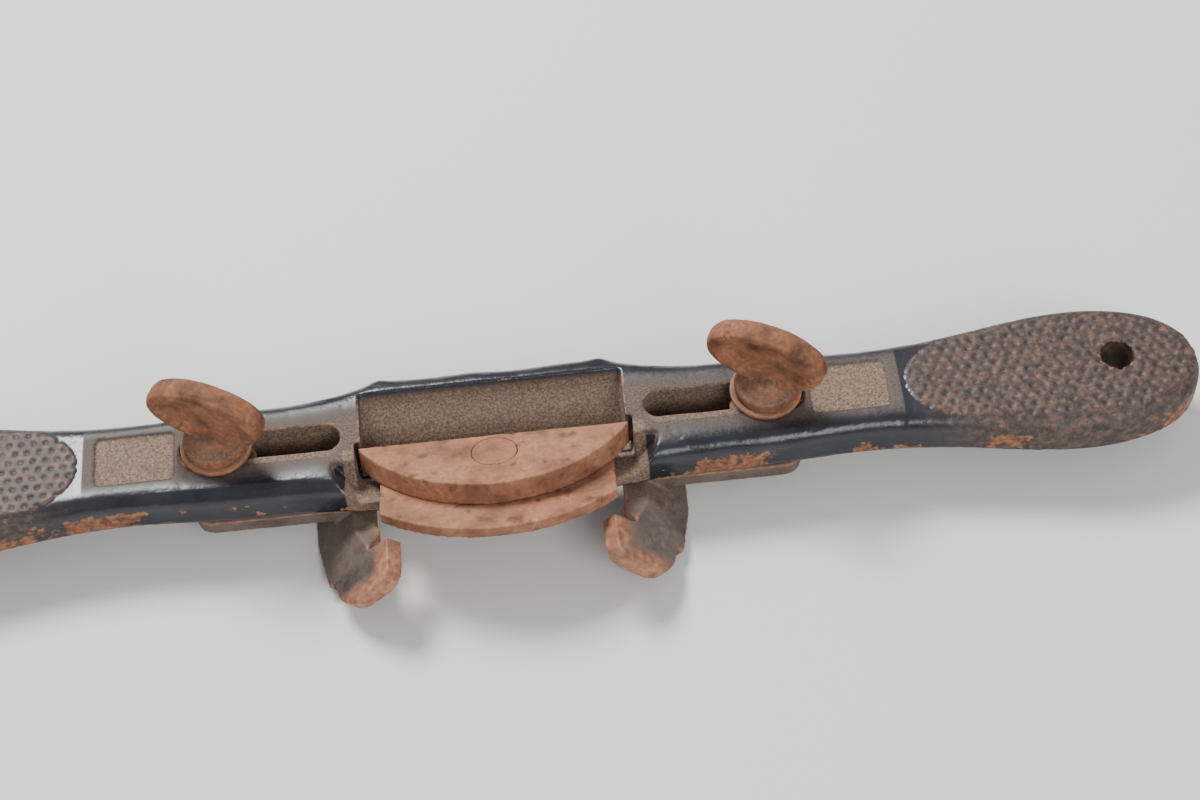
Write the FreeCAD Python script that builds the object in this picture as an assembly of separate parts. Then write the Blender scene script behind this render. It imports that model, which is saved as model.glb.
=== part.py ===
import FreeCAD, Part
import math
import os

# Cast-iron chamfer spokeshave, in millimetres. X runs along the tool, Y from the user's
# side to the far side, Z up. It stands on its fences, so the floor is z = 0.

V = FreeCAD.Vector

# Casting
LENGTH = 233.0
SOLE_Z = 7.0
ARM_TOP = 15.0
TOP_EDGE_RADIUS = 2.8
SOLE_EDGE_RADIUS = 1.6
TOE_Y = 12.0
HEEL_Y = -11.7

# Cutter bed: the cutting edge is the bed's local origin
BED_ANGLE = 20.0
EDGE_Y = 0.3
MOUTH_FRONT_Y = 2.1
THROAT_WIDTH = 43.3
RIM_Y = 8.8
THROAT_BACK_Y = -3.0
BED_RECESS_WIDTH = 45.4
BED_RECESS_TOP_WIDTH = 57.0
BED_RECESS_HEIGHT = 8.0
CHEEK_FRONT_Y = -7.0
BED_RECESS_FRONT_Y = -0.8

# Cutter and cap
CUTTER_WIDTH = 38.1
CUTTER_LENGTH = 23.6
CUTTER_THICKNESS = 2.0
CUTTER_BEVEL = 25.0
TAIL_RADIUS = 30.0
CAP_SETBACK = 4.6
CAP_CHORD = 44.3
CAP_DEPTH = 13.0
CAP_THICKNESS = 4.2
CAP_SCREW_SETBACK = 8.9
CAP_SCREW_RADIUS = 1.9
CAP_HEAD_RADIUS = 3.7
CAP_HEAD_DEPTH = 1.8
CUTTER_SLOT_RADIUS = 2.3
CUTTER_SLOT_BACK = 2.0
CUTTER_SLOT_FRONT = 4.0

# Slots, screws and fences
SLOT_INNER_X = 25.0
SLOT_OUTER_X = 51.0
SLOT_WIDTH = 4.6
SLOT_Y = 1.0
LEDGE_WIDTH = 1.6
LEDGE_DEPTH = 0.6
SCREW_X = 45.0
SHANK_RADIUS = 2.0
SHANK_END_Z = 4.0
COLLAR_RADIUS = 5.2
COLLAR_HEIGHT = 2.0
WASHER_RADIUS = 5.9
WASHER_THICKNESS = 0.9
NECK_HEIGHT = 2.6
NECK_BASE_RADIUS = 4.5
NECK_TOP_RADIUS = 2.8
NECK_SINK = 0.2
WING_LIFT = 0.9
WING_LENGTH = 20.0
WING_HEIGHT = 12.0
WING_THICKNESS = 3.6
WING_EDGE_RADIUS = 1.1
WING_TURN = {"left": -25.0, "right": -29.0}
BAR_THICKNESS = 3.0
BAR_OUTER_X = 50.0
BAR_DEPTH = 17.2
BAR_INNER_X = 23.6
RIB_INNER_X = 39.0
RIB_OUTER_X = 48.5
RIB_TOP = 12.0
RIB_GAP = 0.2
RELIEF_DEPTH = 0.6
RELIEF_OUTER_X = 33.0
SHOE_TIP_Y = -26.0
SHOE_TAPER = 16.0
SHOE_TAPER_START_Y = -9.0
SHOE_THICKNESS = 3.0
SHOE_FOOT_RUN = 3.4
SHOE_OUTER_ROUND = 6.0
SHOE_INNER_ROUND = 3.0
SHOE_INNER_X = 16.2
SHOE_LOW_X = 26.8
NOTCH_Y = -18.0
NOTCH_X = 19.6
SHOE_TOP_RISE = 2.6

# Label recesses and hanging hole
LABEL_INNER_X = 52.0
LABEL_OUTER_X = 65.0
LABEL_DEPTH = 0.5
LABEL_WIDTH = 9.2
HANG_X = 103.0
HANG_RADIUS = 2.8

RUNNING_GAP = 0.05
FACE_GAP = 0.05
JOIN_OVERLAP = 0.5
# The outline swells 0.2 past the toe between its stations
Y_CENTRE = (TOE_Y + 0.2 + SHOE_TIP_Y) / 2.0


def box(x0, x1, y0, y1, z0, z1):
    return Part.makeBox(x1 - x0, y1 - y0, z1 - z0, V(x0, y0, z0))


def post(x, y, z0, z1, radius):
    return Part.makeCylinder(radius, z1 - z0, V(x, y, z0))


def prism_x(points, half_width):
    """Extrude a closed outline of (y, z) points to both sides of x = 0."""
    corners = [V(-half_width, y, z) for y, z in points]
    wire = Part.makePolygon(corners + corners[:1])
    return Part.Face(wire).extrude(V(2.0 * half_width, 0, 0))


def prism_y(points, y0, y1):
    """Extrude a closed outline of (x, z) points from y0 to y1."""
    corners = [V(x, y0, z) for x, z in points]
    wire = Part.makePolygon(corners + corners[:1])
    return Part.Face(wire).extrude(V(0, y1 - y0, 0))


def stadium(x0, x1, y, width, z0, z1):
    radius = width / 2.0
    middle = box(x0 + radius, x1 - radius, y - radius, y + radius, z0, z1)
    ends = [post(x, y, z0, z1, radius) for x in (x0 + radius, x1 - radius)]
    return middle.fuse(ends).removeSplitter()


def bed_z(y):
    return SOLE_Z + (EDGE_Y - y) * math.tan(math.radians(BED_ANGLE))


def onto_bed(shape, lift=0.0):
    """Place a shape drawn flat, edge at the origin and tail at -Y, on the bed."""
    placed = shape.copy()
    placed.translate(V(0, 0, lift))
    placed.rotate(V(0, 0, 0), V(1, 0, 0), -BED_ANGLE)
    placed.translate(V(0, EDGE_Y, SOLE_Z))
    return placed


def mirrored(shape, side):
    if side == "right":
        return shape
    return shape.mirror(V(0, 0, 0), V(1, 0, 0))


def plan_outline():
    """One smooth closed curve: centre block, waisted arms and swelling handles."""
    tip = LENGTH / 2.0
    far = [(0, TOE_Y), (10, TOE_Y), (18.5, TOE_Y - 0.1), (24, 10.5), (29, 9.5), (45, 9.0), (61, 8.3)]
    grip = [(78, 9.8), (95, 12.1), (105, 11.2), (tip - 2.0, 6.0)]
    near = [(tip - 2.0, -6.0), (105, -11.2), (95, -12.1), (78, -9.8), (61, -8.3), (45, -9.0)]
    heel = [(29, -9.3), (22, -9.9), (12, -11.0), (0, HEEL_Y)]
    right = far + grip + [(tip, 0)] + near + heel
    left = [(-x, y) for x, y in reversed(right) if x > 0]
    curve = Part.BSplineCurve()
    curve.interpolate(Points=[V(x, y, 0) for x, y in right + left], PeriodicFlag=True)
    return curve


def blank_casting():
    edge = plan_outline().toShape()
    face = Part.Face(Part.Wire([edge]))
    slab = face.extrude(V(0, 0, ARM_TOP - SOLE_Z))
    slab.translate(V(0, 0, SOLE_Z))
    for height, radius in ((ARM_TOP, TOP_EDGE_RADIUS), (SOLE_Z, SOLE_EDGE_RADIUS)):
        rims = [e for e in slab.Edges if abs(e.BoundBox.ZMin - height) < 0.01 and e.BoundBox.ZLength < 0.01]
        slab = slab.makeFillet(radius, rims)
    return slab


def throat_cutters():
    """Sloping throat, mouth and inclined bed as solids to remove."""
    over = ARM_TOP + 2.0
    throat = [(THROAT_BACK_Y, bed_z(THROAT_BACK_Y)), (EDGE_Y - 1.4, bed_z(EDGE_Y - 1.4)),
              (MOUTH_FRONT_Y, SOLE_Z + 0.9), (RIM_Y - 1.2, ARM_TOP - 2.2), (RIM_Y, ARM_TOP),
              (RIM_Y, over), (THROAT_BACK_Y, over)]
    mouth_half = CUTTER_WIDTH / 2.0 + 0.8
    mouth = box(-mouth_half, mouth_half, EDGE_Y - 1.4, MOUTH_FRONT_Y, SOLE_Z - 1.0, SOLE_Z + 2.0)
    low = BED_RECESS_WIDTH / 2.0
    high = BED_RECESS_TOP_WIDTH / 2.0
    section = [(-low, 0), (low, 0), (high, BED_RECESS_HEIGHT), (-high, BED_RECESS_HEIGHT)]
    cheeks = onto_bed(prism_y(section, HEEL_Y - 8.0, CHEEK_FRONT_Y))
    back = HEEL_Y - 2.0
    bed = prism_x([(back, bed_z(back)), (BED_RECESS_FRONT_Y + 0.01, bed_z(BED_RECESS_FRONT_Y)),
                   (BED_RECESS_FRONT_Y + 0.01, over), (back, over)], low)
    return [prism_x(throat, THROAT_WIDTH / 2.0), bed, cheeks, mouth]


def slot_cutter():
    """A through slot with a shallow ledge along its near side."""
    width = SLOT_WIDTH + LEDGE_WIDTH
    through = stadium(SLOT_INNER_X, SLOT_OUTER_X, SLOT_Y, SLOT_WIDTH, SOLE_Z - 1.0, ARM_TOP + 1.0)
    ledge = stadium(SLOT_INNER_X - 0.4, SLOT_OUTER_X + 0.4, SLOT_Y - LEDGE_WIDTH / 2.0, width,
                    ARM_TOP - LEDGE_DEPTH, ARM_TOP + 1.0)
    return through.fuse(ledge)


def label_recess():
    half = LABEL_WIDTH / 2.0
    recess = box(LABEL_INNER_X, LABEL_OUTER_X, SLOT_Y - 0.6 - half, SLOT_Y - 0.6 + half,
                 ARM_TOP - LABEL_DEPTH, ARM_TOP + 1.0)
    uprights = [e for e in recess.Edges if e.BoundBox.ZLength > 1.0]
    return recess.makeFillet(1.0, uprights)


def body_casting():
    casting = blank_casting()
    removed = throat_cutters()
    for side in ("left", "right"):
        removed += [mirrored(tool, side) for tool in (slot_cutter(), label_recess())]
    removed.append(post(HANG_X, 1.0, 0, ARM_TOP + 5.0, HANG_RADIUS))
    tapped = Part.makeCylinder(CAP_SCREW_RADIUS + RUNNING_GAP, 30.0, V(0, -CAP_SCREW_SETBACK, -15.0))
    removed.append(onto_bed(tapped))
    for tool in removed:
        casting = casting.cut(tool)
    return casting


def cutter():
    """Bevel-up cutter with an arched tail and a slot for the cap screw."""
    bevel_run = CUTTER_THICKNESS / math.tan(math.radians(CUTTER_BEVEL))
    side = [(0, 0), (-CUTTER_LENGTH, 0), (-CUTTER_LENGTH, CUTTER_THICKNESS), (-bevel_run, CUTTER_THICKNESS)]
    blade = prism_x(side, CUTTER_WIDTH / 2.0)
    tail_centre = TAIL_RADIUS - CUTTER_LENGTH
    blade = blade.common(Part.makeCylinder(TAIL_RADIUS, 10.0, V(0, tail_centre, -5.0)))
    slot_ends = (-CAP_SCREW_SETBACK - CUTTER_SLOT_BACK, -CAP_SCREW_SETBACK + CUTTER_SLOT_FRONT)
    slot = box(-CUTTER_SLOT_RADIUS, CUTTER_SLOT_RADIUS, slot_ends[0], slot_ends[1], -1.0, 5.0)
    ends = [post(0, y, -1.0, 5.0, CUTTER_SLOT_RADIUS) for y in slot_ends]
    return onto_bed(blade.cut(slot.fuse(ends)), FACE_GAP)


def cutter_cap():
    """D-shaped cap: straight leading edge, arched back, countersunk for its screw."""
    half = CAP_CHORD / 2.0
    leading = [V(-half, -CAP_SETBACK, 0), V(half, -CAP_SETBACK, 0)]
    back = V(0, -CAP_SETBACK - CAP_DEPTH, 0)
    arc = Part.Arc(leading[1], back, leading[0]).toShape()
    chord = Part.makeLine(leading[0], leading[1])
    plate = Part.Face(Part.Wire([chord, arc])).extrude(V(0, 0, CAP_THICKNESS))
    plate.translate(V(0, 0, CUTTER_THICKNESS))
    top = CUTTER_THICKNESS + CAP_THICKNESS
    hole = post(0, -CAP_SCREW_SETBACK, 0, top + 1.0, CAP_SCREW_RADIUS + RUNNING_GAP)
    seat = post(0, -CAP_SCREW_SETBACK, top - CAP_HEAD_DEPTH, top + 1.0, CAP_HEAD_RADIUS + RUNNING_GAP)
    return onto_bed(plate.cut(hole.fuse(seat)), 2.0 * FACE_GAP)


def cap_screw():
    """Plain flush head over a shank whose tip stays just above the sole."""
    top = CUTTER_THICKNESS + CAP_THICKNESS
    head = post(0, -CAP_SCREW_SETBACK, top - CAP_HEAD_DEPTH, top - 0.1, CAP_HEAD_RADIUS)
    shank = post(0, -CAP_SCREW_SETBACK, -2.2, top - CAP_HEAD_DEPTH, CAP_SCREW_RADIUS)
    return onto_bed(head.fuse(shank), 3.0 * FACE_GAP)


def shoe():
    """Right fence's strap: a 45 degree plate with a notched, tapered and rounded outline."""
    drop = SHOE_LOW_X - SHOE_INNER_X
    width = drop * math.sqrt(2.0) + SHOE_FOOT_RUN
    notch = (NOTCH_X - SHOE_INNER_X) * math.sqrt(2.0)
    strap = box(0, width, SHOE_TIP_Y, BAR_DEPTH / 2.0, 0, SHOE_THICKNESS)
    strap = strap.cut(box(-1, notch, NOTCH_Y, 20, -1, 10))
    taper = box(0, 20, -40, 0, -5, 20)
    taper.rotate(V(0, 0, 0), V(0, 0, 1), -SHOE_TAPER)
    taper.translate(V(width, SHOE_TAPER_START_Y, 0))
    low_x = width + (SHOE_TIP_Y - SHOE_TAPER_START_Y) * math.tan(math.radians(SHOE_TAPER))
    strap = strap.cut(taper).cut(corner_waste(low_x, SHOE_OUTER_ROUND, 1.0))
    strap = strap.cut(corner_waste(0.0, SHOE_INNER_ROUND, -1.0))
    strap.rotate(V(0, 0, 0), V(0, 1, 0), 45.0)
    strap.translate(V(SHOE_INNER_X, 0, drop))
    top = SOLE_Z - FACE_GAP
    under_casting = [(20, top), (HEEL_Y - 0.6, top), (NOTCH_Y, top + SHOE_TOP_RISE), (NOTCH_Y, 20), (20, 20)]
    strap = strap.cut(prism_x(under_casting, 40))
    return strap.cut(box(0, 40, -40, 40, -10, 0))


def corner_waste(x, radius, outward):
    """What to remove to round the shoe's near corner at x; outward is the corner's side."""
    x0, x1 = sorted((x - outward * radius, x + outward * 3.0))
    block = box(x0, x1, SHOE_TIP_Y - 1.0, SHOE_TIP_Y + radius, -1.0, 20.0)
    return block.cut(post(x - outward * radius, SHOE_TIP_Y + radius, -2.0, 21.0, radius))


def fence(side):
    """Bar under the arm, guide rib in the slot, screw hole and shoe, relieved under the cutter's edge."""
    top = SOLE_Z - FACE_GAP
    half = BAR_DEPTH / 2.0
    bar = box(BAR_INNER_X, BAR_OUTER_X, -half, half, top - BAR_THICKNESS, top)
    uprights = [e for e in bar.Edges if e.BoundBox.ZLength > 1.0 and e.BoundBox.XMin > BAR_OUTER_X - 1.0]
    bar = bar.makeFillet(3.0, uprights)
    rib = stadium(RIB_INNER_X, RIB_OUTER_X, SLOT_Y, SLOT_WIDTH - RIB_GAP, top - JOIN_OVERLAP, RIB_TOP)
    relief = box(0, RELIEF_OUTER_X, EDGE_Y - 2.0, MOUTH_FRONT_Y + 0.5, top - RELIEF_DEPTH, top + 1.0)
    whole = bar.fuse(shoe()).fuse(rib).cut(relief)
    hole = post(SCREW_X, SLOT_Y, 0, ARM_TOP, SHANK_RADIUS + RUNNING_GAP)
    return mirrored(whole.cut(hole).removeSplitter(), side)


def screw_washer(side):
    bottom = ARM_TOP + FACE_GAP
    ring = post(SCREW_X, SLOT_Y, bottom, bottom + WASHER_THICKNESS, WASHER_RADIUS)
    bore = post(SCREW_X, SLOT_Y, bottom - 1, bottom + 2, SHANK_RADIUS + RUNNING_GAP)
    return mirrored(ring.cut(bore), side)


def wing(z):
    """Oval thumb plate standing on the neck, its face towards -Y."""
    half = WING_THICKNESS / 2.0
    oval = Part.Ellipse(V(0, 0, 0), WING_LENGTH / 2.0, WING_HEIGHT / 2.0).toShape()
    plate = Part.Face(Part.Wire([oval])).extrude(V(0, 0, WING_THICKNESS))
    rims = [e for e in plate.Edges if e.BoundBox.ZLength < 0.01]
    plate = plate.makeFillet(WING_EDGE_RADIUS, rims)
    plate.translate(V(0, 0, -half))
    plate.rotate(V(0, 0, 0), V(1, 0, 0), 90)
    plate.translate(V(0, 0, z + WING_HEIGHT / 2.0))
    return plate


def thumb_screw(side):
    """Shank, collar, short neck and an oval wing turned to its stored angle."""
    base = ARM_TOP + 2.0 * FACE_GAP + WASHER_THICKNESS
    shank = post(0, 0, SHANK_END_Z, base + JOIN_OVERLAP, SHANK_RADIUS)
    collar = post(0, 0, base, base + COLLAR_HEIGHT, COLLAR_RADIUS)
    rims = [e for e in collar.Edges if abs(e.BoundBox.ZMin - base - COLLAR_HEIGHT) < 0.01
            and e.BoundBox.ZLength < 0.01]
    collar = collar.makeFillet(0.6, rims)
    neck_z = base + COLLAR_HEIGHT
    neck = Part.makeCone(NECK_BASE_RADIUS, NECK_TOP_RADIUS, NECK_HEIGHT, V(0, 0, neck_z - NECK_SINK))
    screw = collar.fuse(shank).fuse(neck).fuse(wing(neck_z + WING_LIFT))
    screw.rotate(V(0, 0, 0), V(0, 0, 1), WING_TURN[side])
    sign = 1.0 if side == "right" else -1.0
    screw.translate(V(sign * SCREW_X, SLOT_Y, 0))
    return screw


def save(name, shape):
    placed = shape.copy()
    placed.translate(V(0, -Y_CENTRE, 0))
    placed.exportStep("parts/" + name + ".step")
    print(name, placed.isValid(), len(placed.Solids), round(placed.Volume, 1), placed.BoundBox)


def main():
    os.makedirs("parts", exist_ok=True)
    save("body_casting", body_casting())
    save("cutter", cutter())
    save("cutter_cap", cutter_cap())
    save("cap_screw", cap_screw())
    for side in ("left", "right"):
        save(side + "_fence", fence(side))
        save(side + "_screw_washer", screw_washer(side))
        save(side + "_thumb_screw", thumb_screw(side))


main()
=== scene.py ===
import math

import bpy
import numpy as np
from mathutils import Matrix, Vector


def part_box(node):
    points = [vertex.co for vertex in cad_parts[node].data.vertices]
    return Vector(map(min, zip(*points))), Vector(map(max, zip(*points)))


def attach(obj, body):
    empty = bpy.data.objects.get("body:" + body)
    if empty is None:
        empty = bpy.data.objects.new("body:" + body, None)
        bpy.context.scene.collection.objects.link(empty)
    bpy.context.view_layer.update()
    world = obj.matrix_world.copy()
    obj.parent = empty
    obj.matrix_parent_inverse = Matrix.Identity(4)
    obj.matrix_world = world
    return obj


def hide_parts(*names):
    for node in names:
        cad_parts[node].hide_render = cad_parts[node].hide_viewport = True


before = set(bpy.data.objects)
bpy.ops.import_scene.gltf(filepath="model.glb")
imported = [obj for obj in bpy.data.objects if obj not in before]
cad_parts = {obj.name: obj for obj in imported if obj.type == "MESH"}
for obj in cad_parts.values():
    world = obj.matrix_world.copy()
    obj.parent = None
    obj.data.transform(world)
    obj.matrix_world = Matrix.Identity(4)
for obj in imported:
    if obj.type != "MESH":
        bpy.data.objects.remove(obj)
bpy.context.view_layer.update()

MM = 0.001
SLOT_OFFSET = 1.0
ARM_INNER_X = 24.0
SLOT_END_X = 52.0
LABEL_INNER_X = 52.0
LABEL_OUTER_X = 65.0
LABEL_WIDTH = 9.4
THROAT_HALF_WIDTH = 22.0
BUMP_X = 18.5
BUMP_HEIGHT = 0.45
GRIP_START_X = 68.0
GRIP_NOSE = 9.0
GRIP_RISE = 0.30
BORDER_DEPTH = 0.18
DIMPLE_PITCH = 2.0
DIMPLE_DEPTH = 0.34
DIMPLE_RADIUS = 0.62
PIT_DEPTH = 0.06
WING_HALF_LENGTH = 10.0
WING_HALF_HEIGHT = 6.0
WING_TURN = {"left": math.radians(-25.0), "right": math.radians(-29.0)}


# ---- places, in millimetres, worked out from the frame ----

def box_mm(node):
    low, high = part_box(node)
    return np.array(low) / MM, np.array(high) / MM


CAST_LOW, CAST_HIGH = box_mm("body_casting")
ARM_TOP = CAST_HIGH[2]
SOLE = CAST_LOW[2]
WASHER_LOW, WASHER_HIGH = box_mm("right_screw_washer")
SCREW_Y = (WASHER_LOW[1] + WASHER_HIGH[1]) / 2.0
ARM_Y = SCREW_Y - SLOT_OFFSET
SHOE_INNER_X, SHOE_TIP_Y = box_mm("right_fence")[0][:2]


# ---- noise and mesh helpers ----

def smooth_step(low, high, value):
    """Smooth rise from 0 at low to 1 at high, or a fall where low is the larger."""
    t = np.clip((value - low) / (high - low), 0.0, 1.0)
    return t * t * (3.0 - 2.0 * t)


def lattice_noise(points, size, seed):
    """Smooth value noise from -1 to 1, with features of the given size."""
    rng = np.random.default_rng(seed)
    table = rng.uniform(-1.0, 1.0, 4096)
    cell = points / size
    base = np.floor(cell).astype(np.int64)
    part = cell - base
    part = part * part * (3.0 - 2.0 * part)
    total = np.zeros(len(points))
    for corner in range(8):
        step = np.array([corner & 1, (corner >> 1) & 1, (corner >> 2) & 1])
        key = base + step
        index = (key[:, 0] * 73856093) ^ (key[:, 1] * 19349663) ^ (key[:, 2] * 83492791)
        weight = np.prod(np.where(step == 1, part, 1.0 - part), axis=1)
        total += weight * table[index & 4095]
    return total


def layered_noise(points, size, seed, layers=3):
    total = np.zeros(len(points))
    for layer in range(layers):
        total += lattice_noise(points, size / 2.0 ** layer, seed + layer) / 2.0 ** layer
    return total


def remeshed(node, name, voxel, smooth=2):
    """A fine copy of a CAD node's mesh, ready to be worked on vertex by vertex."""
    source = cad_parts[node]
    obj = bpy.data.objects.new(name, source.data.copy())
    bpy.context.collection.objects.link(obj)
    obj.data.transform(source.matrix_world)
    obj.data.materials.clear()
    remesh = obj.modifiers.new("remesh", "REMESH")
    remesh.mode = "VOXEL"
    remesh.voxel_size = voxel * MM
    soften = obj.modifiers.new("soften", "SMOOTH")
    soften.iterations = smooth
    soften.factor = 0.5
    graph = bpy.context.evaluated_depsgraph_get()
    mesh = bpy.data.meshes.new_from_object(obj.evaluated_get(graph))
    obj.modifiers.clear()
    obj.data = mesh
    mesh.shade_smooth()
    return obj


def points_of(obj):
    flat = np.empty(len(obj.data.vertices) * 3, np.float32)
    obj.data.vertices.foreach_get("co", flat)
    return flat.reshape(-1, 3).astype(float) / MM


def normals_of(obj):
    flat = np.empty(len(obj.data.vertices) * 3, np.float32)
    obj.data.vertex_normals.foreach_get("vector", flat)
    return flat.reshape(-1, 3).astype(float)


def set_points(obj, points):
    obj.data.vertices.foreach_set("co", (points * MM).astype(np.float32).ravel())
    obj.data.update()


def neighbour_mean(obj, values, rounds):
    """Values averaged with their neighbours along the mesh's edges."""
    flat = np.empty(len(obj.data.edges) * 2, np.int32)
    obj.data.edges.foreach_get("vertices", flat)
    start, end = flat.reshape(-1, 2).T
    count = len(values)
    degree = np.bincount(start, minlength=count) + np.bincount(end, minlength=count)
    for _ in range(rounds):
        total = np.empty_like(values)
        for axis in range(values.shape[1]):
            column = values[:, axis]
            total[:, axis] = np.bincount(start, column[end], count) + np.bincount(end, column[start], count)
        values = 0.5 * values + 0.5 * total / degree[:, None]
    return values


def convexity(obj, rounds=14):
    """Positive on outer edges, negative in inner corners, in millimetres."""
    points = points_of(obj)
    return np.sum((points - neighbour_mean(obj, points, rounds)) * normals_of(obj), axis=1)


def store(obj, name, values):
    layer = obj.data.attributes.new(name, "FLOAT", "POINT")
    layer.data.foreach_set("value", np.clip(values, 0.0, 1.0).astype(np.float32))


# ---- material helpers ----

def new_material(name):
    material = bpy.data.materials.new(name)
    material.use_nodes = True
    tree = material.node_tree
    shader = next(n for n in tree.nodes if n.type == "BSDF_PRINCIPLED")
    return material, tree, shader


def mask_node(tree, name):
    node = tree.nodes.new("ShaderNodeAttribute")
    node.attribute_name = name
    return node.outputs["Fac"]


def noise_node(tree, scale_per_m, detail=6.0, rough=0.6):
    place = tree.nodes.new("ShaderNodeTexCoord")
    node = tree.nodes.new("ShaderNodeTexNoise")
    node.inputs["Scale"].default_value = scale_per_m
    node.inputs["Detail"].default_value = detail
    node.inputs["Roughness"].default_value = rough
    tree.links.new(place.outputs["Object"], node.inputs["Vector"])
    return node.outputs["Fac"]


def ramp_node(tree, value, stops):
    node = tree.nodes.new("ShaderNodeValToRGB")
    ramp = node.color_ramp
    while len(ramp.elements) < len(stops):
        ramp.elements.new(0.5)
    for element, (place, colour) in zip(ramp.elements, stops):
        element.position = place
        element.color = (*colour, 1.0)
    tree.links.new(value, node.inputs["Fac"])
    return node.outputs["Color"]


def grey_ramp(tree, value, low, high):
    return ramp_node(tree, value, [(low, (0, 0, 0)), (high, (1, 1, 1))])


def mix_colour(tree, factor, first, second):
    node = tree.nodes.new("ShaderNodeMix")
    node.data_type = "RGBA"
    tree.links.new(factor, node.inputs["Factor"])
    tree.links.new(first, node.inputs[6])
    tree.links.new(second, node.inputs[7])
    return node.outputs[2]


def maths(tree, operation, first, second):
    node = tree.nodes.new("ShaderNodeMath")
    node.operation = operation
    node.use_clamp = True
    for socket, value in zip(node.inputs, (first, second)):
        if isinstance(value, float):
            socket.default_value = value
        else:
            tree.links.new(value, socket)
    return node.outputs[0]


def bump_node(tree, height, distance_mm, strength):
    node = tree.nodes.new("ShaderNodeBump")
    node.inputs["Strength"].default_value = strength
    node.inputs["Distance"].default_value = distance_mm * MM
    tree.links.new(height, node.inputs["Height"])
    return node.outputs["Normal"]


RUST_STOPS = [(0.28, (0.055, 0.022, 0.014)), (0.45, (0.17, 0.065, 0.034)),
              (0.60, (0.30, 0.125, 0.060)), (0.78, (0.42, 0.20, 0.10))]
BRIGHT_RUST_STOPS = [(0.25, (0.15, 0.055, 0.028)), (0.45, (0.31, 0.125, 0.066)),
                     (0.60, (0.43, 0.195, 0.105)), (0.80, (0.56, 0.29, 0.155))]
DUST_STOPS = [(0.30, (0.12, 0.078, 0.052)), (0.55, (0.23, 0.155, 0.105)), (0.80, (0.34, 0.245, 0.175))]
BLACK_STOPS = [(0.30, (0.008, 0.008, 0.011)), (0.70, (0.022, 0.023, 0.030))]
GRIP_STOPS = [(0.30, (0.020, 0.014, 0.012)), (0.48, (0.052, 0.034, 0.026)), (0.60, (0.105, 0.060, 0.042)),
              (0.76, (0.20, 0.088, 0.048))]
GREY_STOPS = [(0.30, (0.022, 0.019, 0.018)), (0.52, (0.075, 0.062, 0.054)), (0.75, (0.17, 0.135, 0.11))]
# dark rust colours for pits and for painted shade
PIT_AND_SHADE_STOPS = [(0.35, (0.045, 0.020, 0.014)), (0.65, (0.13, 0.055, 0.033))]


def patchy(tree, mask, noise):
    """A mask broken into hard-edged patches, most of them where the mask is high."""
    both = tree.nodes.new("ShaderNodeMath")
    both.operation = "ADD"
    tree.links.new(mask, both.inputs[0])
    tree.links.new(noise, both.inputs[1])
    return grey_ramp(tree, maths(tree, "MULTIPLY", both.outputs[0], 0.5), 0.47, 0.53)


def japanned_material():
    """Glossy black japanning, rusted on its edges, with dust in the hollows."""
    material, tree, shader = new_material("japanned_iron")
    fine = noise_node(tree, 900.0)
    broad = noise_node(tree, 160.0, 5.0)
    specks = noise_node(tree, 2600.0, 3.0)
    black = ramp_node(tree, broad, BLACK_STOPS)
    rust = ramp_node(tree, fine, RUST_STOPS)
    dust = ramp_node(tree, specks, DUST_STOPS)
    grip = ramp_node(tree, fine, GRIP_STOPS)
    wear = patchy(tree, mask_node(tree, "wear"), fine)
    dusty = maths(tree, "MULTIPLY", mask_node(tree, "dust"), maths(tree, "ADD", specks, 0.35))
    gripped = mask_node(tree, "grip")
    colour = mix_colour(tree, gripped, black, grip)
    colour = mix_colour(tree, wear, colour, rust)
    colour = mix_colour(tree, dusty, colour, dust)
    tree.links.new(colour, shader.inputs["Base Color"])
    filmed = maths(tree, "MULTIPLY", dusty, 2.2)
    matt = maths(tree, "MAXIMUM", wear, filmed)
    matt = maths(tree, "MAXIMUM", matt, maths(tree, "MULTIPLY", gripped, 0.55))
    rough = maths(tree, "MULTIPLY_ADD", matt, 0.62)
    rough.node.inputs[2].default_value = 0.24
    tree.links.new(rough, shader.inputs["Roughness"])
    tree.links.new(bump_node(tree, fine, 0.10, 0.6), shader.inputs["Normal"])
    return material


def rust_material(name, stops, dust_amount, scale=1000.0, roughness=0.78):
    """Flaky rust with a film of dust on what faces up, darkened by the pits mask, which holds pits, blotches
    and painted shade.
    """
    material, tree, shader = new_material(name)
    fine = noise_node(tree, scale)
    broad = noise_node(tree, scale / 6.0, 4.0)
    specks = noise_node(tree, 3000.0, 3.0)
    colour = ramp_node(tree, fine, stops)
    dark = ramp_node(tree, broad, [(0.30, stops[0][1]), (0.62, stops[2][1])])
    colour = mix_colour(tree, grey_ramp(tree, broad, 0.42, 0.72), dark, colour)
    dust = ramp_node(tree, specks, DUST_STOPS)
    dusty = maths(tree, "MULTIPLY", mask_node(tree, "dust"), maths(tree, "MULTIPLY", specks, dust_amount))
    colour = mix_colour(tree, dusty, colour, dust)
    worn = mask_node(tree, "wear")
    edge = ramp_node(tree, fine, BRIGHT_RUST_STOPS)
    colour = mix_colour(tree, maths(tree, "MULTIPLY", worn, 0.85), colour, edge)
    # the pits attribute carries pits, blotches and painted shade on side faces and in creases
    pits_and_painted_shade = mask_node(tree, "pits")
    pit_and_shade_colour = ramp_node(tree, fine, PIT_AND_SHADE_STOPS)
    colour = mix_colour(tree, maths(tree, "MULTIPLY", pits_and_painted_shade, 0.85), colour, pit_and_shade_colour)
    tree.links.new(colour, shader.inputs["Base Color"])
    shader.inputs["Roughness"].default_value = roughness
    shader.inputs["Specular IOR Level"].default_value = 0.3
    tree.links.new(bump_node(tree, fine, 0.12, 0.8), shader.inputs["Normal"])
    return material


# ---- the casting ----

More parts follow.
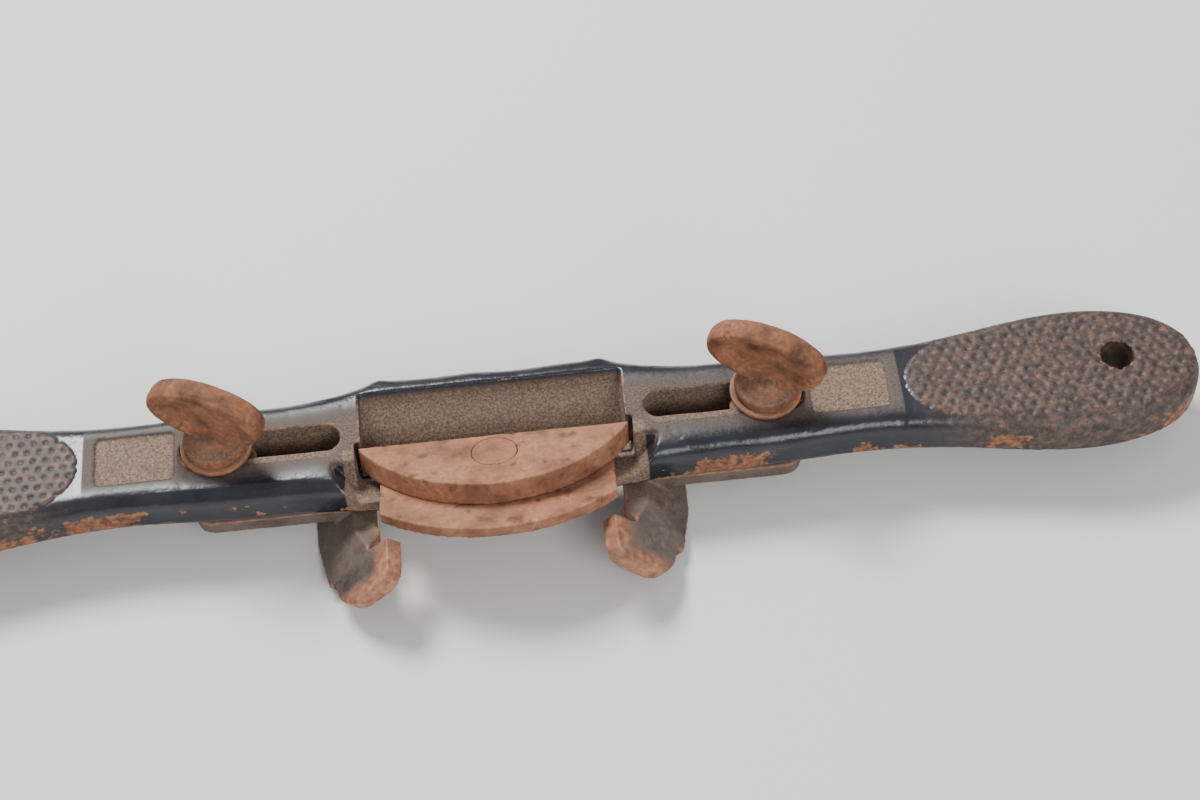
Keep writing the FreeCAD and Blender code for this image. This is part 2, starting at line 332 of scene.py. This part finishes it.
HALF_WIDTH_X = [29.0, 45.0, 61.0, 78.0, 95.0, 105.0, CAST_HIGH[0] - 2.0, CAST_HIGH[0]]
HALF_WIDTH = [9.4, 9.0, 8.3, 9.8, 12.1, 11.2, 6.0, 0.5]


def half_width(x):
    """Half the casting's depth along its length."""
    return np.interp(np.abs(x), HALF_WIDTH_X, HALF_WIDTH)


def grip_mask(points):
    """One inside the tongue-shaped grip panels, falling to zero at their border."""
    along = np.abs(points[:, 0])
    across = np.abs(points[:, 1] - ARM_Y)
    reach = half_width(along) - 1.6
    run = np.clip((along - GRIP_START_X) / GRIP_NOSE, 0.0, 1.0)
    nose = np.sqrt(1.0 - (1.0 - run) ** 2)
    return smooth_step(-0.35, 0.35, reach * nose - across) * (along > GRIP_START_X)


def dimple_field(points):
    """Staggered round dimples, as a depth from 0 to 1."""
    row_step = DIMPLE_PITCH * math.sqrt(3.0) / 2.0
    row = np.round((points[:, 1] - ARM_Y) / row_step)
    shift = np.where(row.astype(int) % 2 == 0, 0.0, DIMPLE_PITCH / 2.0)
    column = np.round((points[:, 0] - shift) / DIMPLE_PITCH)
    dx = points[:, 0] - shift - column * DIMPLE_PITCH
    dy = points[:, 1] - ARM_Y - row * row_step
    return 1.0 - smooth_step(0.15, DIMPLE_RADIUS, np.hypot(dx, dy))


def casting_dust(points, up):
    """Where dust has settled: throat, bed, slots, label recesses and arm tops."""
    x = np.abs(points[:, 0])
    y = points[:, 1] - ARM_Y
    z = points[:, 2]
    throat = (x < THROAT_HALF_WIDTH) * (y > -3.0) * smooth_step(-0.1, -1.6, z - ARM_TOP)
    throat = throat * smooth_step(9.2, 8.2, y)
    bed = (x < 24.6) * (y < -2.0) * (y > -11.5) * (z > SOLE + 1.5) * 0.9
    in_label = (x > LABEL_INNER_X) * (x < LABEL_OUTER_X) * (np.abs(y - 0.4) < LABEL_WIDTH / 2.0)
    label = in_label * smooth_step(-0.15, -0.4, z - ARM_TOP)
    arm = smooth_step(7.5, 3.5, np.abs(y - 0.5)) * (x < 67.0) * (x > ARM_INNER_X)
    arm = arm * smooth_step(-0.5, 0.0, z - ARM_TOP)
    saddle = smooth_step(32.0, 25.0, x) * smooth_step(8.0, 4.0, np.abs(y)) * (z > ARM_TOP - 1.0)
    in_slot = (x > ARM_INNER_X) * (x < SLOT_END_X) * (np.abs(y - 0.6) < 3.6)
    slot = in_slot * (z < ARM_TOP - 0.15) * (z > SOLE + 0.5)
    facing = smooth_step(-0.1, 0.6, up)
    on_top = np.maximum(arm * 0.42, saddle * 0.55) * facing
    return np.maximum.reduce([throat * 0.9, bed, label * 0.95, on_top, slot * 0.9])


def inward_only(lift, where):
    """Keep faces that others slide on from growing outward."""
    return np.where(where, np.minimum(lift - 0.03, -0.02), lift)


def sliding_faces(points):
    """The sole, the slots and the strip of arm top that the washers travel on."""
    x = np.abs(points[:, 0])
    across = np.abs(points[:, 1] - SCREW_Y)
    return (points[:, 2] < SOLE + 1.5) | ((x > 22.0) & (x < 62.0) & (across < 7.5))


def casting_lift(points, grip, flat):
    """How far each point moves outward: casting texture, pits, dimples and the two ridge bumps."""
    rough = layered_noise(points, 7.0, 11, 2) * 0.06 + layered_noise(points, 1.6, 23, 2) * 0.014
    pits = smooth_step(0.35, 0.9, layered_noise(points, 2.2, 37)) * 0.10
    lift = rough - pits * (1.0 - grip) * 0.5
    lift += grip * (GRIP_RISE - DIMPLE_DEPTH * dimple_field(points))
    lift -= smooth_step(0.5, 0.0, np.abs(grip_mask(points) - 0.5)) * flat * BORDER_DEPTH
    edge_bumps = sum(np.exp(-((points[:, 0] - x) ** 2) / 3.0) for x in (-BUMP_X, BUMP_X))
    far_edge = smooth_step(CAST_HIGH[1] - 2.4, CAST_HIGH[1] - 0.8, points[:, 1])
    lift += BUMP_HEIGHT * edge_bumps * far_edge
    return inward_only(np.clip(lift, -0.5, 0.6), sliding_faces(points))


def casting_wear(points, bend, grip, noise):
    """Where the japanning has worn to rust: outer edges, the lower outline, a little on the grips."""
    wear = smooth_step(0.02, 0.20, bend + 0.05 * noise) * 0.62
    near_outline = smooth_step(2.6, 0.6, half_width(points[:, 0]) - np.abs(points[:, 1] - ARM_Y))
    low = smooth_step(ARM_TOP - 1.5, ARM_TOP - 4.0, points[:, 2])
    wear = np.maximum(wear, near_outline * (0.25 + 0.40 * low) * smooth_step(-0.5, 0.5, noise))
    return np.maximum(wear, grip * 0.08)


def make_casting(material):
    obj = remeshed("body_casting", "casting_surface", 0.28, 3)
    points = points_of(obj)
    normals = normals_of(obj)
    bend = convexity(obj)
    flat = smooth_step(0.35, 0.75, np.abs(normals[:, 2]))
    grip = grip_mask(points) * flat
    noise = layered_noise(points, 6.0, 51)
    set_points(obj, points + normals * casting_lift(points, grip, flat)[:, None])
    store(obj, "wear", casting_wear(points, bend, grip, noise))
    store(obj, "dust", casting_dust(points, normals[:, 2]))
    store(obj, "grip", np.maximum(grip, smooth_step(67.0, 82.0, np.abs(points[:, 0]) + 2.5 * noise)))
    obj.data.materials.append(material)
    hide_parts("body_casting")
    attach(obj, "casting")


# ---- small pieces ----

def finish_piece(obj, node, body, material, wear, dust, pits=None):
    store(obj, "wear", wear)
    store(obj, "dust", dust)
    # the pits attribute holds pits and blotches, plus painted shade on side faces and in creases
    store(obj, "pits", np.zeros(len(wear)) if pits is None else pits)
    obj.data.materials.append(material)
    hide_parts(node)
    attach(obj, body)


def make_plain(node, name, body, material, voxel, roughness, seed, pit=PIT_DEPTH):
    """A small iron piece with softened edges, rust scale and pits, with painted shade on its side faces."""
    obj = remeshed(node, name, voxel * (1.0), 2)
    points = points_of(obj)
    normals = normals_of(obj)
    bend = convexity(obj, 10)
    pits = smooth_step(0.35, 0.95, layered_noise(points, 1.6, seed + 9))
    blotches = smooth_step(0.30, 1.10, layered_noise(points * np.array([0.35, 1.0, 1.0]), 3.0, seed + 12))
    # painted shade: faces that turn sideways are darkened
    painted_side_shade = smooth_step(0.75, 0.35, np.abs(normals[:, 2]))
    lift = layered_noise(points, 2.4, seed) * roughness - pits * pit
    sliding = normals[:, 2] < -0.3
    if node == "cutter":
        sliding = np.abs(normals[:, 2]) > 0.3
    lift = inward_only(lift, sliding)
    set_points(obj, points + normals * lift[:, None])
    wear = smooth_step(0.04, 0.22, bend + 0.03 * layered_noise(points, 3.0, seed + 4))
    dust = smooth_step(0.3, 0.9, normals[:, 2]) * smooth_step(-0.6, 0.6, layered_noise(points, 5.0, seed + 6))
    # dark mask: pits and blotches, plus painted shade on the side faces
    dark = np.maximum.reduce([pits * min(1.0, pit / PIT_DEPTH) * 0.7, blotches * 0.45, painted_side_shade * 0.30])
    finish_piece(obj, node, body, material, wear, dust, dark)


def make_fence(side, material):
    """Worn dark fence whose shoe is rusted along its inner edge and its rounded end."""
    node = side + "_fence"
    obj = remeshed(node, side + "_fence_plate", 0.28, 3)
    points = points_of(obj)
    normals = normals_of(obj)
    bend = convexity(obj, 10)
    lift = layered_noise(points, 2.6, 101) * 0.07
    lift -= smooth_step(0.4, 1.0, layered_noise(points, 1.2, 117)) * 0.08
    inner = smooth_step(SHOE_INNER_X + 5.2, SHOE_INNER_X + 3.2, np.abs(points[:, 0]))
    tip = smooth_step(SHOE_TIP_Y + 4.0, SHOE_TIP_Y + 0.8, points[:, 1])
    ragged = 0.35 * layered_noise(points, 3.0, 131)
    banded = np.clip(np.maximum(inner * 0.9, tip) + ragged * np.maximum(inner, tip), 0.0, 1.0)
    wear = np.maximum(banded, smooth_step(0.03, 0.16, bend) * 0.9)
    up = normals[:, 2]
    dust = smooth_step(0.2, 0.8, up) * smooth_step(-0.4, 0.7, layered_noise(points, 5.0, 141))
    dust = np.maximum(dust * 0.8, smooth_step(SHOE_TIP_Y + 9.0, SHOE_TIP_Y + 12.5, points[:, 1]) * 0.8)
    lift = inward_only(lift, points[:, 2] > SOLE - 1.5)
    set_points(obj, points + normals * lift[:, None])
    finish_piece(obj, node, side + "_fence", material, wear, dust)


def make_thumb_screw(side, material):
    """Wing with dished faces inside a raised rim, sunk smoothly into its neck, with painted shade in its
    creases.
    """
    node = side + "_thumb_screw"
    obj = remeshed(node, side + "_wing_screw", 0.2, 4)
    low, high = box_mm(node)
    points = points_of(obj)
    normals = normals_of(obj)
    centre_x = (low[0] + high[0]) / 2.0
    centre_z = high[2] - WING_HALF_HEIGHT
    turn = WING_TURN[side]
    along = (points[:, 0] - centre_x) * math.cos(turn) + (points[:, 1] - SCREW_Y) * math.sin(turn)
    facing = np.abs(normals[:, 1] * math.cos(turn) - normals[:, 0] * math.sin(turn))
    radius = np.hypot(along / WING_HALF_LENGTH, (points[:, 2] - centre_z) / WING_HALF_HEIGHT)
    dish = smooth_step(0.86, 0.45, radius) * smooth_step(0.5, 0.9, facing)
    rim = smooth_step(0.62, 0.84, radius) * smooth_step(1.04, 0.92, radius) * smooth_step(0.5, 0.9, facing)
    on_wing = points[:, 2] > centre_z - 5.5
    lift = np.where(on_wing, 0.25 * rim - 0.75 * dish, 0.0)
    lift += layered_noise(points, 2.6, 61) * 0.06
    bend = convexity(obj, 10)
    set_points(obj, points + normals * lift[:, None])
    wear = smooth_step(0.05, 0.25, bend)
    dust = smooth_step(0.25, 0.9, normals[:, 2]) * (points[:, 2] < centre_z - 3.0)
    dark = smooth_step(0.10, 0.9, layered_noise(points, 2.6, 67)) * 0.5
    # painted shade: inner corners and creases, where bend is negative, are darkened
    dark = np.maximum(dark, smooth_step(0.02, -0.12, bend) * 0.7)
    finish_piece(obj, node, side + "_screw", material, wear, dust, dark)


# ---- stage ----

def make_floor():
    bpy.ops.mesh.primitive_plane_add(size=6.0, location=(0, 0, -0.0002))
    floor = bpy.context.object
    floor.name = "floor"
    material, tree, shader = new_material("pale_floor")
    shader.inputs["Base Color"].default_value = (0.74, 0.73, 0.71, 1.0)
    shader.inputs["Roughness"].default_value = 0.85
    floor.data.materials.append(material)


def add_light(name, place, target, size, power):
    data = bpy.data.lights.new(name, "AREA")
    data.shape = "RECTANGLE"
    data.size = size[0]
    data.size_y = size[1]
    data.energy = power
    light = bpy.data.objects.new(name, data)
    light.location = place
    light.rotation_euler = (Vector(target) - Vector(place)).to_track_quat("-Z", "Y").to_euler()
    bpy.context.collection.objects.link(light)


def make_lights():
    world = bpy.data.worlds.new("studio")
    world.use_nodes = True
    background = world.node_tree.nodes["Background"]
    background.inputs["Color"].default_value = (0.90, 0.94, 1.0, 1.0)
    background.inputs["Strength"].default_value = 0.55
    bpy.context.scene.world = world
    add_light("key", (-0.25, 0.42, 0.62), (0, 0, 0.01), (0.30, 0.22), 9.0)
    add_light("fill", (0.35, -0.65, 0.55), (0, 0, 0.01), (0.5, 0.4), 5.0)


def make_camera():
    """The camera stands on the user's side, above the tail of the cutter."""
    azimuth, elevation, roll = (math.radians(a) for a in (1.71, 54.7, 4.45))
    distance = 0.3771
    target = Vector((0.0179, 0.00945, 0.015))
    forward = Vector((math.sin(azimuth) * math.cos(elevation), math.cos(azimuth) * math.cos(elevation),
                      -math.sin(elevation)))
    right = Vector((math.cos(azimuth), -math.sin(azimuth), 0.0))
    above = right.cross(forward)
    across = right * math.cos(roll) - above * math.sin(roll)
    upward = right * math.sin(roll) + above * math.cos(roll)
    data = bpy.data.cameras.new("camera")
    data.lens = 69.1
    data.sensor_width = 36.0
    camera = bpy.data.objects.new("camera", data)
    turn = Matrix((across, upward, -forward)).transposed().to_4x4()
    camera.matrix_world = Matrix.Translation(target - forward * distance) @ turn
    bpy.context.collection.objects.link(camera)
    bpy.context.scene.camera = camera


def make_all():
    make_camera()
    make_lights()
    make_floor()
    make_casting(japanned_material())
    steel = rust_material("rusty_steel", BRIGHT_RUST_STOPS, 0.5)
    scale = rust_material("rusty_screw", RUST_STOPS, 1.3, 1300.0)
    grey = rust_material("worn_iron", GREY_STOPS, 0.6, 700.0, 0.55)
    dusty = rust_material("dusty_rust", BRIGHT_RUST_STOPS, 1.4)
    make_plain("cutter", "cutter_blade", "cutter", steel, 0.25, 0.06, 71)
    make_plain("cutter_cap", "cap_plate", "cap", steel, 0.25, 0.06, 81)
    make_plain("cap_screw", "cap_screw_body", "cap_screw", steel, 0.18, 0.03, 97, 0.02)
    for side in ("left", "right"):
        make_fence(side, grey)
        make_plain(side + "_screw_washer", side + "_washer_ring", side + "_washer", dusty,
                   0.18, 0.03, 111, 0.03)
        make_thumb_screw(side, scale)


make_all()
